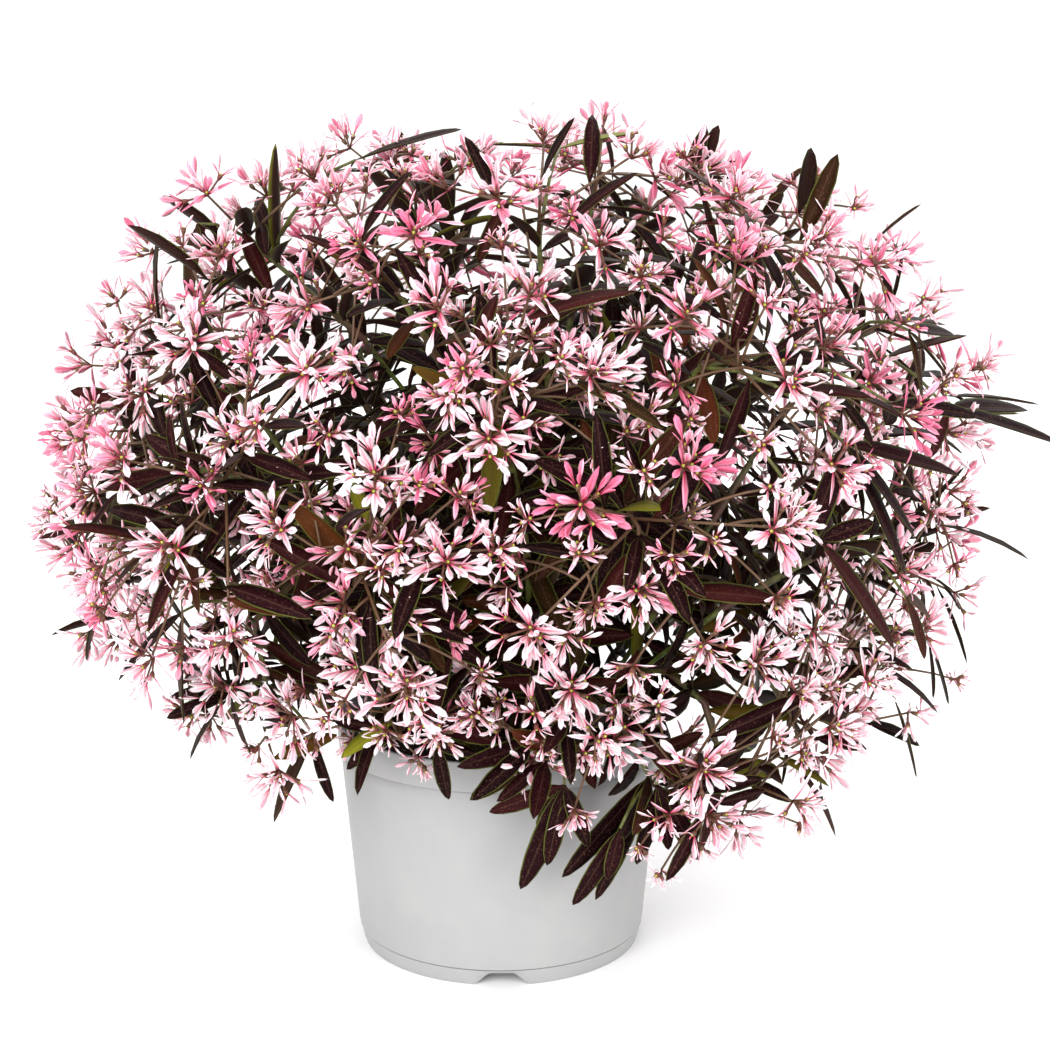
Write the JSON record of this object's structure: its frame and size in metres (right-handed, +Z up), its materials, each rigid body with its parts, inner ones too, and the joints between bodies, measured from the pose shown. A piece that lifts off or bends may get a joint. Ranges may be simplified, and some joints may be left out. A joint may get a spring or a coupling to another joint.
{
  "type": "potted euphorbia",
  "caption": "Bushy flowering euphorbia with narrow dark leaves and sprays of small pink and white star flowers, in a round grey plastic nursery pot.",
  "frame": {"origin": "middle of the model's footprint box, on the plane that the pot's foot stands on", "axes": "+Z up along the pot's axis, +X across the plant's widest spread, -Y towards the side that the picture shows"},
  "size_m": [0.4396, 0.4018, 0.3798],
  "materials": {
    "pot_plastic": "satin",
    "potting_soil": "matte",
    "dark_leaf_and_stem": "satin",
    "pink_flower": "matte"
  },
  "bodies": {
    "root": {"flower_spray_01": "pink_flower", "flower_spray_02": "pink_flower", "flower_spray_03": "pink_flower", "flower_spray_04": "pink_flower", "flower_spray_05": "pink_flower", "flower_spray_06": "pink_flower", "flower_spray_07": "pink_flower", "flower_spray_08": "pink_flower", "flower_spray_09": "pink_flower", "flower_spray_10": "pink_flower", "flower_spray_11": "pink_flower", "flower_spray_12": "pink_flower", "flower_spray_13": "pink_flower", "flower_spray_14": "pink_flower", "flower_spray_15": "pink_flower", "flower_spray_16": "pink_flower", "flower_spray_17": "pink_flower", "flower_spray_18": "pink_flower", "flower_spray_19": "pink_flower", "flower_spray_20": "pink_flower", "flower_spray_21": "pink_flower", "flower_spray_22": "pink_flower", "flower_spray_23": "pink_flower", "flower_spray_24": "pink_flower", "flower_spray_25": "pink_flower", "flower_spray_26": "pink_flower", "flower_spray_27": "pink_flower", "flower_spray_28": "pink_flower", "flower_spray_29": "pink_flower", "flower_spray_30": "pink_flower", "flower_spray_31": "pink_flower", "flower_spray_32": "pink_flower", "flower_spray_33": "pink_flower", "flower_spray_34": "pink_flower", "flower_spray_35": "pink_flower", "flower_spray_36": "pink_flower", "flower_spray_37": "pink_flower", "flower_spray_38": "pink_flower", "flower_spray_39": "pink_flower", "flower_spray_40": "pink_flower", "flower_spray_41": "pink_flower", "flower_spray_42": "pink_flower", "flower_spray_43": "pink_flower", "flower_spray_44": "pink_flower", "leafy_stem_01": "dark_leaf_and_stem", "leafy_stem_02": "dark_leaf_and_stem", "leafy_stem_03": "dark_leaf_and_stem", "leafy_stem_04": "dark_leaf_and_stem", "leafy_stem_05": "dark_leaf_and_stem", "leafy_stem_06": "dark_leaf_and_stem", "leafy_stem_07": "dark_leaf_and_stem", "leafy_stem_08": "dark_leaf_and_stem", "leafy_stem_09": "dark_leaf_and_stem", "leafy_stem_10": "dark_leaf_and_stem", "leafy_stem_11": "dark_leaf_and_stem", "leafy_stem_12": "dark_leaf_and_stem", "pot": "pot_plastic", "soil": "potting_soil"}
  },
  "joints": []
}
